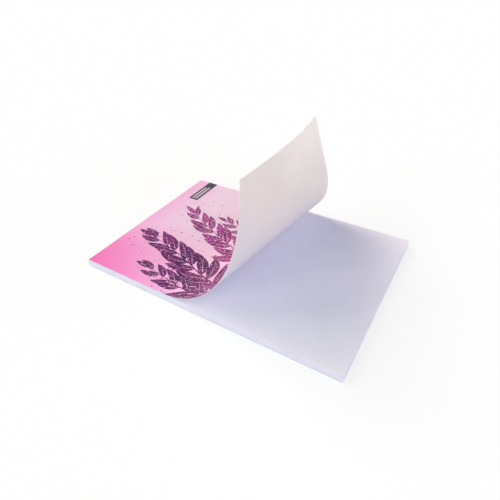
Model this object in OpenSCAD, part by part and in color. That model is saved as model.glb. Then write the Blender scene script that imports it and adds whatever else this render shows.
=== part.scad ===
// Writing pad: a block of blank sheets on a stiff board, glued along the head edge,
// with a card cover that is bent up from the tail and stands curled over the block.
// Millimetres. The head edge is at +Y, the tail at -Y and +Z is up.
// The origin is the centre of the underside of the board.

/* [Page block] */
// Width of a sheet, between the long edges
pad_w = 210; // [180:1:300]
// Length of a sheet, from head to tail
pad_l = 297; // [260:1:420]
// Number of sheets in the block
sheet_count = 80; // [20:1:200]
// Thickness of one sheet
sheet_t = 0.1; // [0.08:0.005:0.2]

/* [Backing board] */
// Thickness of the grey board under the sheets
board_t = 0.9; // [0.5:0.1:3]

/* [Glued head] */
// Thickness of the glue film over the head edge
glue_t = 0.4; // [0.2:0.05:1]
// Radius of the film's rounded outer edges
glue_edge_r = 0.3; // [0.1:0.05:0.4]

/* [Cover] */
// Thickness of the cover card
cover_t = 0.3; // [0.15:0.05:0.6]
// Length of cover that lies flat from the head, along the left edge
flat_left = 105.5; // [60:0.5:150]
// Length of cover that lies flat from the head, along the right edge
flat_right = 108.5; // [60:0.5:150]
// Whole angle that the cover turns through, from flat to its free corner
curl_angle = 114.5; // [20:0.5:140]
// How much of the turn comes early: 1 is an even turn, more bends it near the block
curl_ease = 5; // [1:0.25:6]
// How the bend lines fan out: 1 is an even fan, less opens it at the right edge first
fan_ease = 0.305; // [0.25:0.005:1]
// Straight corner past the last bend line, along the right edge
corner_long = 34.5; // [10:0.5:60]
// Straight corner past the last bend line, along the tail edge
corner_short = 15; // [8:0.5:60]
// Number of bend lines in the curl
bend_count = 64; // [16:1:96]

/* [Hidden] */
block_t = sheet_count * sheet_t;
block_z = board_t;
cover_z = block_z + block_t;
glue_h = cover_z + cover_t;

// The cover is drawn on a flat card, u from the head and v from the left edge.
// Bend line t, from 0 to 1, runs straight across it from the left edge to the right.
// The last one cuts off the straight corner; produced, it meets the left edge past the tail.
last_left = pad_l + corner_long * (pad_w - corner_short) / corner_short;
last_right = pad_l - corner_long;
function line_left(t) = flat_left + (last_left - flat_left) * t;
function line_right(t) = flat_right + (last_right - flat_right) * pow(t, fan_ease);
function turned(t) = curl_angle * (1 - pow(1 - t, curl_ease));

// Bend lines are spaced for equal turns. One is added through the free left corner.
corner_t = (pad_l - flat_left) / (last_left - flat_left);
function even_turn(i) = 1 - pow(1 - (i + 0.5) / bend_count, 1 / curl_ease);
evenly = [for (i = [0:bend_count - 1]) even_turn(i)];
gap_min = 0.1 / bend_count / curl_ease;
before = [for (t = evenly) if (t < corner_t - gap_min) t];
after = [for (t = evenly) if (t > corner_t + gap_min && t < 1) t];
bends = concat(before, [corner_t], after, [1]);
last = len(bends) - 1;

// Turn at each bend line, in degrees, shared out at the middles between the lines
function middle(i) = i < 0 ? 0 : i >= last ? 1 : (bends[i] + bends[i + 1]) / 2;
function bend_turn(i) = turned(middle(i)) - turned(middle(i - 1));

// Ends of a bend line on the card: on the left edge, or on the tail edge where it is cut
function cut_v(i) = pad_w * (line_left(bends[i]) - pad_l)
    / (line_left(bends[i]) - line_right(bends[i]));
function left_end(i) = line_left(bends[i]) <= pad_l
    ? [line_left(bends[i]), 0] : [pad_l, cut_v(i)];
function right_end(i) = [line_right(bends[i]), pad_w];

// A pose is [three column vectors, shift]: where a flat piece of the card has moved to
function columns(m, p) = m[0] * p.x + m[1] * p.y + m[2] * p.z;
function placed(pose, p) = columns(pose[0], p) + pose[1];
function spun(axis, angle, p) = p * cos(angle) + cross(axis, p) * sin(angle)
    + axis * (axis * p) * (1 - cos(angle));
function bend_axis(i) = let (run = right_end(i) - left_end(i)) [run.x, run.y, 0] / norm(run);
function bent(pose, i) =
    let (
        axis = bend_axis(i),
        hub = [left_end(i).x, left_end(i).y, 0],
        turn = [for (e = [[1, 0, 0], [0, 1, 0], [0, 0, 1]]) spun(axis, -bend_turn(i), e)]
    )
    [[for (c = turn) columns(pose[0], c)], placed(pose, hub - columns(turn, hub))];
still = [[[1, 0, 0], [0, 1, 0], [0, 0, 1]], [0, 0, 0]];
poses = [
    for (i = 0, pose = still; i <= last + 1; pose = i <= last ? bent(pose, i) : pose, i = i + 1)
    pose
];

// The card's faces meet on the half-way normal of each bend line
function upright(i) = spun(bend_axis(i), -bend_turn(i) / 2, [0, 0, 1]) / cos(bend_turn(i) / 2);
function edge_pair(i, end) = let (p = [end.x, end.y, 0])
    [placed(poses[i], p), placed(poses[i], p + upright(i) * cover_t)];
function end_pair(pose, p) = [placed(pose, p), placed(pose, p + [0, 0, cover_t])];

// Rows of four points across the card: left under, left upper, right under, right upper
rows = concat(
    [concat(end_pair(still, [0, 0, 0]), end_pair(still, [0, pad_w, 0]))],
    [for (i = [0:last]) concat(edge_pair(i, left_end(i)), edge_pair(i, right_end(i)))]
);
tip = end_pair(poses[last + 1], [pad_l, pad_w, 0]);

// Faces are named anticlockwise from outside, and a polyhedron lists them clockwise
function tri(a, b, c) = [a, c, b];
function quad(a, b, c, d) = [tri(a, b, c), tri(a, c, d)];
function row_faces(a, b) = concat(
    quad(a, a + 2, b + 2, b),
    quad(a + 1, b + 1, b + 3, a + 3),
    quad(a, b, b + 1, a + 1),
    quad(a + 2, a + 3, b + 3, b + 2)
);

module curled_card() {
    n = 4 * len(rows);
    z = n - 4;
    body = [for (i = [0:len(rows) - 2]) each row_faces(4 * i, 4 * i + 4)];
    head_end = quad(0, 1, 3, 2);
    free_end = concat(
        [tri(z, z + 2, n), tri(z + 1, n + 1, z + 3)],
        quad(z, n, n + 1, z + 1),
        quad(z + 2, z + 3, n + 1, n)
    );
    polyhedron(concat([for (r = rows) each r], tip), concat(head_end, body, free_end));
}

// A flat layer of the pad, from height z
module layer(z, thickness) {
    translate([-pad_w / 2, -pad_l / 2, z]) cube([pad_w, pad_l, thickness]);
}

// The printed card, bent up from the tail so that its plain back shows
module cover() {
    color([0.93, 0.66, 0.83])
    translate([-pad_w / 2, pad_l / 2, cover_z])
    rotate([0, 0, -90])
    curled_card();
}

// The blank sheets, pressed together
module page_block() {
    color([0.93, 0.93, 0.96]) layer(block_z, block_t);
}

// The stiff board under the sheets
module backing_board() {
    color([0.80, 0.81, 0.84]) layer(0, board_t);
}

// The film of glue that holds cover, sheets and board together at the head
module head_glue() {
    r = min(glue_edge_r, glue_t);
    corners = [r, glue_h - r];
    color([0.90, 0.90, 0.86])
    translate([-pad_w / 2, pad_l / 2, 0])
    rotate([90, 0, 90])
    linear_extrude(pad_w)
    intersection() {
        square([glue_t, glue_h]);
        union() {
            translate([0, r]) square([glue_t, glue_h - 2 * r]);
            square([glue_t - r, glue_h]);
            for (z = corners) translate([glue_t - r, z]) circle(r, $fn = 24);
        }
    }
}

cover();
page_block();
backing_board();
head_glue();
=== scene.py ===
"""Looks of a blank writing pad: sheets on a board, glued at the head, under a printed card
cover that is bent up from the tail and stands curled over the open page. Metres."""

import math
import random

import bpy
import numpy as np
from mathutils import Matrix, Vector
from mathutils.geometry import delaunay_2d_cdt


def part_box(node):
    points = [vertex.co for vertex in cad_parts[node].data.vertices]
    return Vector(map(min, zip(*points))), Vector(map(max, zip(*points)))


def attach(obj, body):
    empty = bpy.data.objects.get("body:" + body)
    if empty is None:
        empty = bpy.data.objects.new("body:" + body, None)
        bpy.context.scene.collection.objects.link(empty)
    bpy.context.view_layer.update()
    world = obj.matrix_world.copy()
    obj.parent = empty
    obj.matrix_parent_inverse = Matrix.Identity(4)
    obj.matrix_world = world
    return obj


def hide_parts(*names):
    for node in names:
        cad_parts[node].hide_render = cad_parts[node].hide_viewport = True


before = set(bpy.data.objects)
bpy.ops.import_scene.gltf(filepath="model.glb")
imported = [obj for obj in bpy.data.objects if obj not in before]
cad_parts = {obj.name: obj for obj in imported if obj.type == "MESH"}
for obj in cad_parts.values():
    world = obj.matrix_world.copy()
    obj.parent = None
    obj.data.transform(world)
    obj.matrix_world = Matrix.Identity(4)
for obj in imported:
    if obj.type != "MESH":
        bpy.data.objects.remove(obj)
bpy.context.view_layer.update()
MM = 0.001
random.seed(7)


def srgb(r, g, b):
    """A colour as a picture editor gives it, 0 to 255, made linear."""
    def one(c):
        c /= 255
        return c / 12.92 if c <= 0.04045 else ((c + 0.055) / 1.055) ** 2.4
    return (one(r), one(g), one(b), 1)


# Sizes that the frame gives
block_low, block_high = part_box("page_block")
board_low, board_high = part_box("backing_board")
glue_low, glue_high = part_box("head_glue")
PAD_W = block_high.x - block_low.x
PAD_L = block_high.y - block_low.y
BLOCK_T = block_high.z - block_low.z
COVER_Z = block_high.z
COVER_T = glue_high.z - COVER_Z
SHEET_T = 0.1 * MM

# The curl of the cover, by the same rule as in the part's source
FLAT_LEFT = 105.5 * MM
FLAT_RIGHT = 108.5 * MM
CURL_ANGLE = math.radians(114.5)
CURL_EASE = 5
FAN_EASE = 0.305
CORNER_LONG = 34.5 * MM
CORNER_SHORT = 15 * MM
BEND_COUNT = 360

# The camera, where the photograph was taken from
CAMERA_AT = Vector((-306.5, -186.6, 290.6)) * MM
CAMERA_HEADING = math.radians(58.27)
CAMERA_DOWN = math.radians(38.105)
CAMERA_ROLL = math.radians(-1.17)
CAMERA_LENS = 29.03
SENSOR_WIDTH = 36

# Sprays of leaves on the cover: start from the head and from the left edge, heading in degrees,
# length, bend in radians, number of leaves, length and width of the first leaves, and ink.
# Lengths are in mm.
SPRAYS = [
    (186, 6, 146, 168, 0.42, 17, 54, 17, "dark"),
    (214, -6, 166, 150, 0.10, 15, 44, 14, "dark"),
    (206, 72, 165, 172, -0.22, 17, 50, 16, "plum"),
    (196, 132, 186, 104, -0.35, 11, 38, 13, "plum"),
    (300, 30, 112, 120, 0.50, 13, 46, 16, "plum"),
    (302, 172, 176, 130, 0.35, 13, 42, 14, "dark"),
]

# Dots: how many go round each spray and all over, how far those round a spray scatter, the share
# of fine ones, and the least and greatest radius of fine and of coarse ones in mm
SPRAY_DOTS = 190
LOOSE_DOTS = 260
DOT_SCATTER = 24 * MM
FINE_SHARE = 0.8
FINE_RADIUS = (0.35, 0.7)
COARSE_RADIUS = (0.8, 1.25)

# The dark strip at the right edge, and its rules: place across the strip, and length
LABEL_HEAD = 14.9 * MM
LABEL_TAIL = 28.3 * MM
LABEL_LEFT = 161.3 * MM
RULES = ((0.32, 31 * MM), (0.66, 33 * MM))
RULE_WIDTH = 2.1 * MM
RULE_MARGIN = 3 * MM

# Where two inks meet, the one with the higher rank shows
INK_RANK = {"dark": 1, "plum": 2, "label": 5, "rule": 6}

# Points of the flat card's grid, along and across, that let it bend smoothly
GRID_U = 150
GRID_V = 36

# Pink of the ground: how far it reaches from the left head corner, along and across, from the
# head edge and from a faint painted highlight beside the bend, and how strong the last two are
CORNER_REACH = (160 * MM, 110 * MM)
EDGE_REACH = 60 * MM
EDGE_PINK = 0.42
PAINTED_HIGHLIGHT_AT = (150 * MM, 35 * MM, 0)
PAINTED_HIGHLIGHT_REACH = 50 * MM
PAINTED_HIGHLIGHT_PINK = 0.4

# Painted light on the back of the card: where its painted warm light starts, and how much of it the
# left edge has
PAINTED_LIGHT_FROM = 180 * MM
PAINTED_LIGHT_AT_LEFT = 0.35

# Finish of the card: share of light that passes through, its tint, and gloss of the print
CARD_THROUGH = 0.16
THROUGH_TINT = srgb(250, 226, 222)
PRINT_GLOSS = 0.22

# Noise scales of the fibres in paper and board, fine and coarse, per metre
PAPER_FIBRE = (2600, 700)
BOARD_FIBRE = (1300, 420)
PRINT_FIBRE = (1800, 500)
BACK_FIBRE = (1900, 420)

# The floor: its colour as a lit surface, and its lit share and glow where it is seen
FLOOR_COLOUR = (0.82, 0.82, 0.84, 1)
FLOOR_SEEN = (0.20, 0.25, 0.30, 1)
FLOOR_GLOW = (0.768, 0.734, 0.682, 1)
WHITE = (1, 1, 1, 1)
BLACK = (0, 0, 0, 1)

# Soft boxes: heading from the head towards the right, height above the floor, both in degrees,
# how narrow, and colour
NARROW = 40
BROAD = 14
SOFT_BOXES = [
    (290, 25, NARROW, (0.44, 0.46, 0.44)),
    (330, 40, NARROW, (0.38, 0.38, 0.30)),
    (10, 43, NARROW, (0.99, 0.79, 0.69)),
    (105, 10, BROAD, (0.13, 0.15, 0.20)),
    (150, 10, BROAD, (0.38, 0.31, 0.08)),
    (180, 29, BROAD, (0.34, 0.40, 0.52)),
    (210, 10, BROAD, (0.14, 0.26, 0.28)),
    (210, 35, BROAD, (0.24, 0.17, 0.35)),
]
BOX_FLUX = 2.4


# Shape of the curled card

def bend_lines():
    """Where each bend line meets the left and the right edge of the flat card, and its turn."""
    i = np.arange(BEND_COUNT)
    t = 1 - (1 - (i + 0.5) / BEND_COUNT) ** (1 / CURL_EASE)
    last_left = PAD_L + CORNER_LONG * (PAD_W - CORNER_SHORT) / CORNER_SHORT
    last_right = PAD_L - CORNER_LONG
    left = FLAT_LEFT + (last_left - FLAT_LEFT) * t
    right = FLAT_RIGHT + (last_right - FLAT_RIGHT) * t**FAN_EASE
    return left, right, CURL_ANGLE / BEND_COUNT


def fold_card():
    """The bend lines, and the turn and shift of each flat strip between two of them, in the
    card's own frame."""
    left, right, turn = bend_lines()
    turns = [np.eye(3)]
    shifts = [np.zeros(3)]
    for a, b in zip(left, right):
        axis = np.array([b - a, PAD_W, 0])
        axis /= np.linalg.norm(axis)
        x, y, z = axis
        cross = np.array([[0, -z, y], [z, 0, -x], [-y, x, 0]])
        bend = np.eye(3) - math.sin(turn) * cross + (1 - math.cos(turn)) * cross @ cross
        hub = np.array([a, 0, 0])
        shifts.append(turns[-1] @ (hub - bend @ hub) + shifts[-1])
        turns.append(turns[-1] @ bend)
    return left, right, np.array(turns), np.array(shifts)


LEFT, RIGHT, TURNS, SHIFTS = fold_card()


def to_frame(rows):
    """Directions in the card's own frame, u from the head and v from the left, in the part's."""
    return np.column_stack([rows[:, 1], -rows[:, 0], rows[:, 2]])


def curl_card(flat):
    """Where each point of the flat card's under face goes on the curl, and which way is up."""
    u, v = flat[:, 0], flat[:, 1]
    crossed = LEFT[None, :] + (RIGHT - LEFT)[None, :] * (v / PAD_W)[:, None] < u[:, None]
    strip = crossed.sum(1)
    local = np.column_stack([u, v, np.zeros(len(u))])
    spots = np.einsum("nij,nj->ni", TURNS[strip], local) + SHIFTS[strip]
    corner = np.array([-PAD_W / 2, PAD_L / 2, COVER_Z])
    return to_frame(spots) + corner, to_frame(TURNS[strip][:, :, 2])


# Outlines of the print, on the flat card

def leaf_outline(base, heading, length, width, bow):
    """A pointed leaf from its base, with its middle line bowed to one side."""
    steps = 9
    # Under 1, these bring the widest place nearer the base and fill out the flanks
    lean, fullness = 0.8, 0.85
    middle = []
    for k in range(steps + 1):
        s = k / steps
        angle = heading + bow * s
        along = length * s
        middle.append((base[0] + along * math.cos(angle), base[1] + along * math.sin(angle), angle))
    one, other = [], []
    for k, (x, y, angle) in enumerate(middle[1:-1], 1):
        half = width / 2 * math.sin(math.pi * (k / steps) ** lean) ** fullness
        one.append((x - half * math.sin(angle), y + half * math.cos(angle)))
        other.append((x + half * math.sin(angle), y - half * math.cos(angle)))
    tip = middle[-1][:2]
    return [tuple(base)] + other + [tip] + one[::-1]


def vein_outline(base, heading, length, bow, width):
    """The pale middle rib of a leaf, from near its base to near its tip."""
    def point(s, side):
        angle = heading + bow * s
        x = base[0] + length * s * math.cos(angle) - side * math.sin(angle)
        y = base[1] + length * s * math.sin(angle) + side * math.cos(angle)
        return (x, y)
    stops = [0.12, 0.4, 0.65, 0.86]
    lower = [point(s, -width / 2 * (1 - s)) for s in stops]
    upper = [point(s, width / 2 * (1 - s)) for s in stops[::-1]]
    return lower + upper


def stalk_line(start, heading, length, bend):
    """Points of a bent stalk, each with the way it runs there."""
    steps = 24
    x, y = start
    line = []
    for k in range(steps + 1):
        angle = heading + bend * k / steps
        line.append((x, y, angle))
        x += length / steps * math.cos(angle)
        y += length / steps * math.sin(angle)
    return line


def stalk_outline(line):
    """A stalk that tapers along its line."""
    thick, taper = 1.3 * MM, 0.85
    steps = len(line) - 1
    half = [thick * (1 - taper * k / steps) for k in range(len(line))]
    upper = [(x - h * math.sin(a), y + h * math.cos(a)) for (x, y, a), h in zip(line, half)]
    lower = [(x + h * math.sin(a), y - h * math.cos(a)) for (x, y, a), h in zip(line, half)]
    return lower + upper[::-1]


def spray(start, heading, length, bend, leaves, leaf_length, leaf_width, ink):
    """A leafy stem: a tapering stalk with leaves by turns on each side and one at its tip."""
    # Place of the first leaf along the stalk, and how much smaller and closer the last ones are
    first, shrink, close = 0.12, 0.55, 0.35
    vein_width = 0.9 * MM
    line = stalk_line(start, heading, length, bend)
    steps = len(line) - 1
    shapes = [(ink, stalk_outline(line))]
    for n in range(leaves):
        share = first + (1 - first) * n / leaves
        x, y, along = line[round(share * steps)]
        size = (1 - shrink * share) * random.uniform(0.9, 1.1)
        side = 1 if n % 2 else -1
        lean = side * math.radians(random.uniform(46, 60)) * (1 - close * share)
        bow = -side * random.uniform(0.15, 0.4)
        shape = ((x, y), along + lean, leaf_length * size)
        shapes.append((ink, leaf_outline(*shape, leaf_width * size, bow)))
        shapes.append(("clear", vein_outline(*shape, bow, vein_width * size)))
    x, y, along = line[-1]
    shapes.append((ink, leaf_outline((x, y), along, leaf_length * 0.45, leaf_width * 0.4, 0.05)))
    return shapes


def dot(centre):
    """A dot of random size, mostly fine, as a small polygon."""
    low, high = FINE_RADIUS if random.random() < FINE_SHARE else COARSE_RADIUS
    radius = random.uniform(low, high) * MM
    turn = random.uniform(0, math.pi)
    sides = 7 if radius > 0.5 * MM else 6
    angles = [turn + 2 * math.pi * k / sides for k in range(sides)]
    outline = [(centre[0] + radius * math.cos(a), centre[1] + radius * math.sin(a)) for a in angles]
    return ("plum", outline)


def dot_by_spray(start, heading, length, bend):
    """A dot somewhere along a spray or just past it, scattered less widely towards its tip."""
    along = random.uniform(0, 1.08)
    angle = heading + bend * along / 2
    aside = random.gauss(0, DOT_SCATTER * (1.1 - 0.5 * along))
    x = start[0] + length * along * math.cos(angle) - aside * math.sin(angle)
    y = start[1] + length * along * math.sin(angle) + aside * math.cos(angle)
    return dot((x, y))


def label_shapes():
    """The dark strip, which runs off the right edge, and its two pale rules."""
    past_edge = PAD_W + 1 * MM
    strip = [(LABEL_HEAD, LABEL_LEFT), (LABEL_TAIL, LABEL_LEFT)]
    strip += [(LABEL_TAIL, past_edge), (LABEL_HEAD, past_edge)]
    shapes = [("label", strip)]
    near = LABEL_LEFT + RULE_MARGIN
    for across, reach in RULES:
        middle = LABEL_HEAD + across * (LABEL_TAIL - LABEL_HEAD)
        low, high = middle - RULE_WIDTH / 2, middle + RULE_WIDTH / 2
        far = near + reach
        shapes.append(("rule", [(low, near), (high, near), (high, far), (low, far)]))
    return shapes


def print_shapes():
    """Every printed shape, as (ink, outline). A clear shape cuts the ink away."""
    shapes = []
    for from_head, from_left, heading, length, bend, leaves, leaf_length, leaf_width, ink in SPRAYS:
        stem = ((from_head * MM, from_left * MM), math.radians(heading), length * MM, bend)
        shapes += spray(*stem, leaves, leaf_length * MM, leaf_width * MM, ink)
        shapes += [dot_by_spray(*stem) for _ in range(SPRAY_DOTS)]
    for _ in range(LOOSE_DOTS):
        spot = (random.uniform(0.03, 1) * PAD_L, random.uniform(0.02, 0.98) * PAD_W)
        shapes.append(dot(spot))
    return shapes + label_shapes()


def split_card(shapes):
    """Triangles of the flat card, cut along every printed outline. Gives the points, the
    triangles and the ink of each one."""
    points, outlines = [], []

    def add(outline):
        outlines.append(list(range(len(points), len(points) + len(outline))))
        points.extend(outline)

    add([(0, 0), (PAD_L, 0), (PAD_L, PAD_W), (0, PAD_W)])
    for _, outline in shapes:
        add(outline)
    for i in range(1, GRID_U):
        for j in range(1, GRID_V):
            points.append((PAD_L * i / GRID_U, PAD_W * j / GRID_V))
    for i in range(1, GRID_U):
        points.append((PAD_L * i / GRID_U, 0))
        points.append((PAD_L * i / GRID_U, PAD_W))
    for j in range(1, GRID_V):
        points.append((0, PAD_W * j / GRID_V))
        points.append((PAD_L, PAD_W * j / GRID_V))
    all_triangles, same_spot = 0, 1e-7
    flat = [Vector(p) for p in points]
    found = delaunay_2d_cdt(flat, [], outlines, all_triangles, same_spot, True)
    spots, _, faces, _, _, sources = found
    triangles, inks = [], []
    for face, owners in zip(faces, sources):
        # Outline 0 is the card itself, and shape n is outline n + 1
        if 0 not in owners:
            continue
        kinds = [shapes[o - 1][0] for o in owners if o > 0]
        inked = [k for k in kinds if k != "clear"]
        if "clear" in kinds and "label" not in kinds:
            inked = []
        triangles.append(face)
        inks.append(max(inked, key=INK_RANK.get) if inked else "ground")
    used = sorted({i for face in triangles for i in face})
    place = {old: new for new, old in enumerate(used)}
    kept = np.array([tuple(p) for p in spots])[used]
    return kept, [[place[i] for i in face] for face in triangles], inks


def new_object(name, points, faces, materials, picks=None):
    mesh = bpy.data.meshes.new(name)
    mesh.from_pydata([tuple(p) for p in points], [], [tuple(f) for f in faces])
    for material in materials:
        mesh.materials.append(material)
    if picks is not None:
        mesh.polygons.foreach_set("material_index", picks)
    mesh.update()
    piece = bpy.data.objects.new(name, mesh)
    bpy.context.scene.collection.objects.link(piece)
    return piece


def open_edges(triangles):
    """The edges that only one triangle has, each in that triangle's direction."""
    edges = [pair for a, b, c in triangles for pair in ((a, b), (b, c), (c, a))]
    known = set(edges)
    return [(a, b) for a, b in edges if (b, a) not in known]


def make_cover(inks):
    """The whole card as one closed sheet, printed on its upper face and plain underneath."""
    spots, triangles, kinds = split_card(print_shapes())
    count = len(spots)
    under, up = curl_card(spots)
    upper = under + up * COVER_T
    rim = open_edges(triangles)
    # u runs towards -Y and v towards +X, so a triangle that turns left on the card faces up
    faces = [(a + count, b + count, c + count) for a, b, c in triangles]
    faces += [(c, b, a) for a, b, c in triangles]
    faces += [(a, b, b + count, a + count) for a, b in rim]
    order = list(inks)
    picks = [order.index(k) for k in kinds]
    picks += [order.index("back")] * len(triangles)
    picks += [order.index("edge")] * len(rim)
    piece = new_object("cover_card", np.vstack([under, upper]), faces, list(inks.values()), picks)
    corners = np.zeros(len(piece.data.loops), int)
    piece.data.loops.foreach_get("vertex_index", corners)
    # The place on the flat card, in lengths of the card
    flat = np.vstack([spots, spots]) / PAD_L
    piece.data.uv_layers.new(name="card").data.foreach_set("uv", flat[corners].ravel())
    # The curl's own normals on both faces; a zero leaves the rim flat
    piece.data.polygons.foreach_set("use_smooth", [True] * len(faces))
    normals = np.vstack([-up, up])[corners]
    normals[6 * len(triangles):] = 0
    piece.data.normals_split_custom_set(normals)
    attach(piece, "root")
    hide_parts("cover")
    return piece


# Sheets, board and glue

def outline_ring(low, high, z, inset, per_side, waves=(0, 0, 0, 0), phase=0):
    """One ring of points round a rectangle, inset a little and wavy along each side."""
    points = []
    corners = [(low.x, low.y), (high.x, low.y), (high.x, high.y), (low.x, high.y)]
    inward = [(0, 1), (-1, 0), (0, -1), (1, 0)]
    # Just under half a wave goes along a side
    stretch = 3.1
    for side in range(4):
        a, b = corners[side], corners[(side + 1) % 4]
        d, before = inward[side], inward[side - 1]
        for k in range(per_side):
            s = k / per_side
            shift = inset + waves[side] * (0.5 + 0.5 * math.sin(stretch * s + side + phase))
            x = a[0] + (b[0] - a[0]) * s + d[0] * shift
            y = a[1] + (b[1] - a[1]) * s + d[1] * shift
            if k == 0:
                x += before[0] * shift
                y += before[1] * shift
            points.append((x, y, z))
    return points


def stack_rings(name, rings, materials):
    """A closed solid through rings of equal length, with a flat face at each end. The ends
    take the first material and the sides the last."""
    n = len(rings[0])
    points = [p for ring in rings for p in ring]
    faces = [tuple(range(n))[::-1]]
    for r in range(len(rings) - 1):
        for k in range(n):
            m = (k + 1) % n
            faces.append((r * n + k, r * n + m, (r + 1) * n + m, (r + 1) * n + k))
    faces.append(tuple(range((len(rings) - 1) * n, len(rings) * n)))
    picks = [0] + [len(materials) - 1] * (len(faces) - 2) + [0]
    return new_object(name, points, faces, materials, picks)


def make_pages(paper, cut_edges):
    """The block with each sheet's cut edge standing a hair in or out from its neighbours."""
    groove, most_inset, most_wave = 0.05 * MM, 0.07 * MM, 0.09 * MM
    # Up each sheet's edge: place as a share of its thickness, and how far in
    profile = [(0.06, groove), (0.2, 0), (0.8, 0), (0.94, groove)]
    count = round(BLOCK_T / SHEET_T)
    rings = []
    for n in range(count):
        inset = random.uniform(0, most_inset)
        waves = [random.uniform(0, most_wave) for _ in range(4)]
        phase = random.uniform(0, 6)
        steps = list(profile)
        if n == 0:
            steps[0] = (0, 0)
        if n == count - 1:
            steps[-1] = (1, 0)
            inset, waves = 0, [0, 0, 0, 0]
        for share, extra in steps:
            z = block_low.z + (n + share) * SHEET_T
            rings.append(outline_ring(block_low, block_high, z, inset + extra, 8, waves, phase))
    piece = stack_rings("page_sheets", rings, [paper, cut_edges])
    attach(piece, "root")
    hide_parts("page_block")
    return piece


def make_board(material):
    """The board, with edges that the knife has rounded a little."""
    soft = 0.18 * MM
    height = board_high.z - board_low.z
    # Up the edge: place as a share of the height, and how far in as a share of the rounding
    profile = [(0, 1), (0.08, 0.3), (0.25, 0), (0.8, 0), (0.95, 0.25), (1, 0.7)]
    rings = []
    for share, inset in profile:
        z = board_low.z + share * height
        rings.append(outline_ring(board_low, board_high, z, inset * soft, 10))
    piece = stack_rings("grey_board", rings, [material])
    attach(piece, "root")
    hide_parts("backing_board")
    return piece


def glue_depth(s, t):
    """Thickness of the glue film as a share of its most, s along the head and t up it: thin at
    its upper and lower edge, with ripples that the brush has left."""
    edge = min(1, 0.3 + 4 * min(t, 1 - t))
    ripple = 0.5 + 0.25 * math.sin(47 * s + 2 * t) + 0.25 * math.sin(131 * s + 5 * t + 1)
    return edge * (0.8 + 0.2 * ripple)


def make_glue(material):
    """The brushed film of glue over the head, uneven by a few hundredths of a millimetre."""
    across, up = 90, 10
    size = glue_high - glue_low
    back, front = [], []
    for j in range(up + 1):
        for i in range(across + 1):
            s, t = i / across, j / up
            x = glue_low.x + size.x * s
            z = glue_low.z + size.z * t
            front.append((x, glue_low.y + size.y * glue_depth(s, t), z))
            back.append((x, glue_low.y, z))
    n = len(front)
    w = across + 1
    faces = []
    for j in range(up):
        for i in range(across):
            a = j * w + i
            faces.append((a, a + w, a + w + 1, a + 1))
            faces.append((n + a, n + a + 1, n + a + w + 1, n + a + w))
    # Once round the film: along the foot, up, back along the top and down
    loop = list(range(across)) + list(range(across, n - 1, w))
    loop += list(range(n - 1, n - w, -1)) + list(range(n - w, 0, -w))
    faces += [(a, b, n + b, n + a) for a, b in zip(loop, loop[1:] + loop[:1])]
    piece = new_object("glue_film", front + back, faces, [material])
    piece.data.polygons.foreach_set("use_smooth", [True] * len(faces))
    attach(piece, "root")
    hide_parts("head_glue")
    return piece


# Materials

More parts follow.
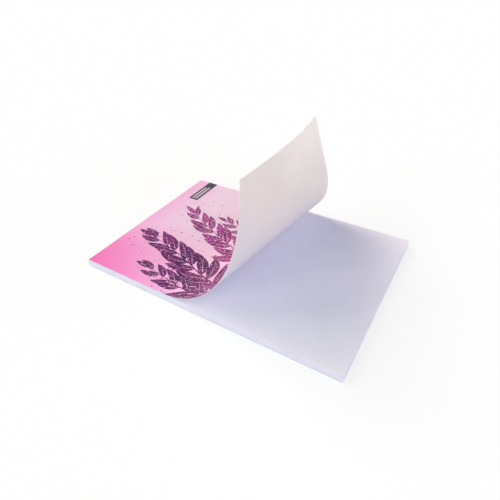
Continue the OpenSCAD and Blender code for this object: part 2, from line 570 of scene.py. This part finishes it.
class Nodes:
    """A short way to make and join the nodes of a material or of the world."""

    def __init__(self, owner, output="ShaderNodeOutputMaterial"):
        self.owner = owner
        owner.use_nodes = True
        self.tree = owner.node_tree
        self.tree.nodes.clear()
        self.out = self.add(output)

    def add(self, kind, **values):
        node = self.tree.nodes.new(kind)
        for key, value in values.items():
            setattr(node, key, value)
        return node

    def put(self, value, socket):
        """Link another node's output to a socket, or set a plain value on it."""
        if isinstance(value, bpy.types.NodeSocket):
            self.tree.links.new(value, socket)
        else:
            socket.default_value = value

    def math(self, operation, a, b=0, clamp=False):
        node = self.add("ShaderNodeMath", operation=operation, use_clamp=clamp)
        self.put(a, node.inputs[0])
        self.put(b, node.inputs[1])
        return node.outputs[0]

    def vector(self, operation, a, b):
        node = self.add("ShaderNodeVectorMath", operation=operation)
        self.put(a, node.inputs[0])
        self.put(b, node.inputs["Scale" if operation == "SCALE" else 1])
        return node.outputs["Value" if operation in ("DISTANCE", "DOT_PRODUCT") else "Vector"]

    def split(self, vector):
        node = self.add("ShaderNodeSeparateXYZ")
        self.put(vector, node.inputs[0])
        return node.outputs

    def fall(self, distance, reach):
        """One at no distance, and evenly down to nought at the reach."""
        return self.math("SUBTRACT", 1, self.math("DIVIDE", distance, reach), True)

    def noise(self, vector, scale, detail, roughness):
        node = self.add("ShaderNodeTexNoise")
        node.inputs["Scale"].default_value = scale
        node.inputs["Detail"].default_value = detail
        node.inputs["Roughness"].default_value = roughness
        self.put(vector, node.inputs["Vector"])
        return node.outputs[0]

    def sway(self, vector, scale, size):
        """Slow noise about nought."""
        noise = self.noise(vector, scale, 3, 0.55)
        return self.math("MULTIPLY", self.math("SUBTRACT", noise, 0.5), size)

    def ramp(self, value, stops):
        node = self.add("ShaderNodeValToRGB")
        node.color_ramp.interpolation = "LINEAR"
        elements = node.color_ramp.elements
        while len(elements) < len(stops):
            elements.new(1)
        for element, (at, colour) in zip(elements, stops):
            element.position = at
            element.color = colour
        self.put(value, node.inputs[0])
        return node.outputs[0]

    def tint(self, noise, low, high):
        """From one colour to the other over most of the range of a noise."""
        return self.ramp(noise, [(0.3, low), (0.7, high)])

    def mix(self, share, a, b):
        node = self.add("ShaderNodeMix", data_type="RGBA")
        self.put(share, node.inputs[0])
        self.put(a, node.inputs[6])
        self.put(b, node.inputs[7])
        return node.outputs[2]

    def place(self):
        """Place on the piece, in metres."""
        return self.add("ShaderNodeTexCoord").outputs["Object"]

    def card_place(self):
        """Place on the flat card, in metres: x from the head, y from the left edge."""
        return self.vector("SCALE", self.add("ShaderNodeUVMap", uv_map="card").outputs[0], PAD_L)

    def bump(self, height, strength, distance):
        node = self.add("ShaderNodeBump")
        node.inputs["Strength"].default_value = strength
        node.inputs["Distance"].default_value = distance
        self.put(height, node.inputs["Height"])
        return node.outputs[0]

    def fibres(self, place, scales):
        """Relief of pressed fibres: a fine felt over a slower, cloudy one."""
        fine, coarse = scales
        small = self.noise(place, fine, 3, 0.6)
        slow = self.noise(place, coarse, 2, 0.5)
        return self.math("ADD", small, self.math("MULTIPLY", slow, 0.6))

    def shader(self, kind, colour):
        node = self.add(kind)
        self.put(colour, node.inputs[0])
        return node.outputs[0]

    def mix_shaders(self, share, a, b):
        node = self.add("ShaderNodeMixShader")
        self.put(share, node.inputs[0])
        self.put(a, node.inputs[1])
        self.put(b, node.inputs[2])
        return node.outputs[0]

    def seen_apart(self, seen, lighting):
        """One shader for camera, glossy and transmission rays, and one for all other rays."""
        path = self.add("ShaderNodeLightPath").outputs
        sees = self.math("MAXIMUM", path["Is Camera Ray"], path["Is Glossy Ray"])
        sees = self.math("MAXIMUM", sees, path["Is Transmission Ray"])
        self.put(self.mix_shaders(sees, lighting, seen), self.out.inputs[0])

    def surface(self, colour, roughness, normal=None, gloss=0.5, through=0):
        """A rough coat, with an optional share of light that passes through the sheet."""
        coat = self.add("ShaderNodeBsdfPrincipled")
        coat.inputs["Roughness"].default_value = roughness
        coat.inputs["IOR"].default_value = 1.46
        coat.inputs["Specular IOR Level"].default_value = gloss
        self.put(colour, coat.inputs["Base Color"])
        if normal is not None:
            self.put(normal, coat.inputs["Normal"])
        result = coat.outputs[0]
        if through:
            passed = self.shader("ShaderNodeBsdfTranslucent", THROUGH_TINT)
            result = self.mix_shaders(through, result, passed)
        self.put(result, self.out.inputs[0])
        return self.owner


def new_material(name):
    return Nodes(bpy.data.materials.new(name))


def page_paper():
    m = new_material("page_paper")
    place = m.place()
    tint = m.tint(m.noise(place, 34, 3, 0.55), srgb(236, 236, 243), srgb(241, 240, 247))
    return m.surface(tint, 0.75, m.bump(m.fibres(place, PAPER_FIBRE), 0.25, 0.04 * MM))


def page_edges():
    """The cut edges of the sheets, each a little lighter or darker than the next, and on the whole
    a little darker than the page's face as painted shade of the gaps between sheets.
    """
    m = new_material("page_edges")
    place = m.place()
    sheets = m.noise(m.vector("MULTIPLY", place, (45, 45, 1 / SHEET_T)), 1, 2, 0.5)
    # Painted shade: these tints sit a little below those of the page's face
    tint = m.tint(sheets, srgb(225, 225, 236), srgb(243, 243, 250))
    return m.surface(tint, 0.85, m.bump(m.fibres(place, PAPER_FIBRE), 0.3, 0.04 * MM))


def board_material():
    m = new_material("grey_board")
    place = m.place()
    stops = [(0.35, srgb(190, 190, 197)), (0.55, srgb(214, 214, 220)), (0.75, srgb(226, 226, 229))]
    tint = m.ramp(m.noise(place, 1500, 4, 0.7), stops)
    cloud = m.noise(place, 120, 3, 0.6)
    tint = m.mix(m.math("MULTIPLY", cloud, 0.25), tint, srgb(202, 201, 209))
    return m.surface(tint, 0.9, m.bump(m.fibres(place, BOARD_FIBRE), 0.5, 0.08 * MM))


def glue_material():
    m = new_material("padding_glue")
    cloud = m.noise(m.place(), 260, 3, 0.5)
    tint = m.tint(cloud, srgb(203, 206, 208), srgb(218, 221, 224))
    return m.surface(tint, 0.38, m.bump(cloud, 0.3, 0.1 * MM))


def card_finish(m, card, colour, roughness):
    """Smooth coated card: faint relief and a little light passing through."""
    relief = m.bump(m.fibres(card, PRINT_FIBRE), 0.12, 0.03 * MM)
    return m.surface(colour, roughness, relief, PRINT_GLOSS, CARD_THROUGH)


def ground_material():
    """Pink that is strongest in the left head corner and pales away from it, with a painted
    highlight beside the bend.
    """
    m = new_material("cover_print")
    card = m.card_place()
    from_head, from_left, _ = m.split(card)
    near_head = m.fall(from_head, CORNER_REACH[0])
    near_left = m.fall(from_left, CORNER_REACH[1])
    corner = m.math("MULTIPLY", near_head, m.math("POWER", near_left, 0.7))
    at_edge = m.math("POWER", m.fall(from_head, EDGE_REACH), 1.6)
    edge = m.math("MULTIPLY", at_edge, EDGE_PINK)
    # A painted highlight: pinker print in a round patch beside the bend
    near_painted_highlight = m.fall(m.vector("DISTANCE", card, PAINTED_HIGHLIGHT_AT), PAINTED_HIGHLIGHT_REACH)
    painted_highlight = m.math("MULTIPLY", near_painted_highlight, PAINTED_HIGHLIGHT_PINK)
    pink = m.math("ADD", m.math("MAXIMUM", corner, edge), painted_highlight)
    amount = m.math("ADD", pink, m.sway(card, 16, 0.2))
    stops = [
        (0.0, srgb(250, 230, 253)),
        (0.3, srgb(253, 208, 244)),
        (0.65, srgb(255, 158, 218)),
        (1.0, srgb(254, 119, 195)),
    ]
    return card_finish(m, card, m.ramp(amount, stops), 0.6)


def ink_material(name, film, flecks, fleck_share):
    """Ink laid as a fine spatter: a dark, cloudy film, broken by paler flecks of two kinds."""
    m = new_material(name)
    card = m.card_place()
    dark = m.ramp(m.noise(card, 60, 3, 0.6), [(0.36, film[0]), (0.64, film[1])])
    pale = m.ramp(m.noise(card, 240, 1, 0.5), [(0.45, flecks[0]), (0.6, flecks[1])])
    # A fleck's edge is soft from just under to just over the level that gives the share
    level = 1 - fleck_share
    broken = m.ramp(m.noise(card, 470, 2, 0.5), [(level - 0.02, BLACK), (level + 0.03, WHITE)])
    return card_finish(m, card, m.mix(broken, dark, pale), 0.55)


def dark_ink():
    film = (srgb(50, 20, 74), srgb(114, 24, 106))
    flecks = (srgb(210, 106, 204), srgb(246, 198, 244))
    return ink_material("ink_dark", film, flecks, 0.40)


def plum_ink():
    film = (srgb(96, 20, 92), srgb(156, 34, 134))
    flecks = (srgb(236, 128, 214), srgb(252, 196, 242))
    return ink_material("ink_plum", film, flecks, 0.44)


def plain_print(name, low, high, roughness):
    """An even film of one ink."""
    m = new_material(name)
    card = m.card_place()
    return card_finish(m, card, m.tint(m.noise(card, 300, 2, 0.5), low, high), roughness)


def back_material():
    """The card's plain back, with painted shade by the bend and painted warm light towards its free
    right corner.
    """
    m = new_material("cover_back")
    card = m.card_place()
    from_head, from_left, _ = m.split(card)
    # Painted light: nought by the bend, growing towards the free right corner
    along = m.math("DIVIDE", m.math("SUBTRACT", from_head, PAINTED_LIGHT_FROM), PAD_L - PAINTED_LIGHT_FROM, True)
    slope = (1 - PAINTED_LIGHT_AT_LEFT) / PAD_W
    across = m.math("ADD", m.math("MULTIPLY", from_left, slope), PAINTED_LIGHT_AT_LEFT)
    painted_light_tone = m.math("ADD", m.math("MULTIPLY", along, across), m.sway(card, 26, 0.3))
    # The ramp runs from painted shade by the bend, cool and darker, to painted warm light at the
    # free corner
    stops = [(0.05, srgb(214, 214, 225)), (0.35, srgb(231, 224, 216)), (0.8, srgb(253, 249, 237))]
    relief = m.bump(m.fibres(card, BACK_FIBRE), 0.2, 0.04 * MM)
    return m.surface(m.ramp(painted_light_tone, stops), 0.7, relief, through=CARD_THROUGH)


def cut_material():
    """The card's cut edge."""
    m = new_material("cover_cut")
    cloud = m.noise(m.place(), 900, 2, 0.5)
    return m.surface(m.tint(cloud, srgb(232, 226, 230), srgb(244, 240, 242)), 0.85)


# Floor, light and camera

def make_floor():
    half = 6
    z = -0.02 * MM
    points = [(-half, -half, z), (half, -half, z), (half, half, z), (-half, half, z)]
    m = new_material("floor")
    both = m.add("ShaderNodeAddShader")
    m.put(m.shader("ShaderNodeBsdfDiffuse", FLOOR_SEEN), both.inputs[0])
    m.put(m.shader("ShaderNodeEmission", FLOOR_GLOW), both.inputs[1])
    m.seen_apart(both.outputs[0], m.shader("ShaderNodeBsdfDiffuse", FLOOR_COLOUR))
    floor = new_object("floor", points, [(0, 1, 2, 3)], [m.owner])


def make_world():
    """White where it is seen; for the object, a dark studio with a few soft boxes."""
    world = bpy.data.worlds.new("studio")
    bpy.context.scene.world = world
    m = Nodes(world, "ShaderNodeOutputWorld")
    way = m.add("ShaderNodeTexCoord").outputs["Generated"]
    total = (0, 0, 0)
    for heading, height, narrow, colour in SOFT_BOXES:
        heading, height = math.radians(heading), math.radians(height)
        flat = math.cos(height)
        aim = (math.sin(heading) * flat, math.cos(heading) * flat, math.sin(height))
        off = m.math("SUBTRACT", m.vector("DOT_PRODUCT", way, aim), 1)
        glow = m.math("EXPONENT", m.math("MULTIPLY", off, narrow))
        # The narrower a box, the brighter, so that its colour says how much light it gives
        level = BOX_FLUX * narrow / (2 * math.pi)
        box = m.vector("SCALE", [c * level for c in colour], glow)
        total = m.vector("ADD", total, box)
    seen = m.shader("ShaderNodeBackground", WHITE)
    m.seen_apart(seen, m.shader("ShaderNodeBackground", total))


def make_camera():
    ahead = Vector((
        math.sin(CAMERA_HEADING) * math.cos(CAMERA_DOWN),
        math.cos(CAMERA_HEADING) * math.cos(CAMERA_DOWN),
        -math.sin(CAMERA_DOWN),
    ))
    level = ahead.cross(Vector((0, 0, 1))).normalized()
    upright = level.cross(ahead)
    right = level * math.cos(CAMERA_ROLL) + upright * math.sin(CAMERA_ROLL)
    up = right.cross(ahead)
    lens = bpy.data.cameras.new("camera")
    lens.sensor_width = SENSOR_WIDTH
    lens.lens = CAMERA_LENS
    lens.clip_start = 10 * MM
    camera = bpy.data.objects.new("camera", lens)
    axes = Matrix((right, up, -ahead)).transposed().to_4x4()
    camera.matrix_world = Matrix.Translation(CAMERA_AT) @ axes
    bpy.context.scene.collection.objects.link(camera)
    bpy.context.scene.camera = camera


def main():
    make_camera()
    inks = {
        "ground": ground_material(),
        "dark": dark_ink(),
        "plum": plum_ink(),
        "label": plain_print("cover_label", srgb(62, 52, 74), srgb(78, 68, 90), 0.4),
        "rule": plain_print("cover_rule", srgb(234, 226, 236), srgb(244, 238, 246), 0.5),
        "back": back_material(),
        "edge": cut_material(),
    }
    make_cover(inks)
    make_pages(page_paper(), page_edges())
    make_board(board_material())
    make_glue(glue_material())
    make_floor()
    make_world()
    bpy.context.scene.view_settings.view_transform = "Standard"


main()
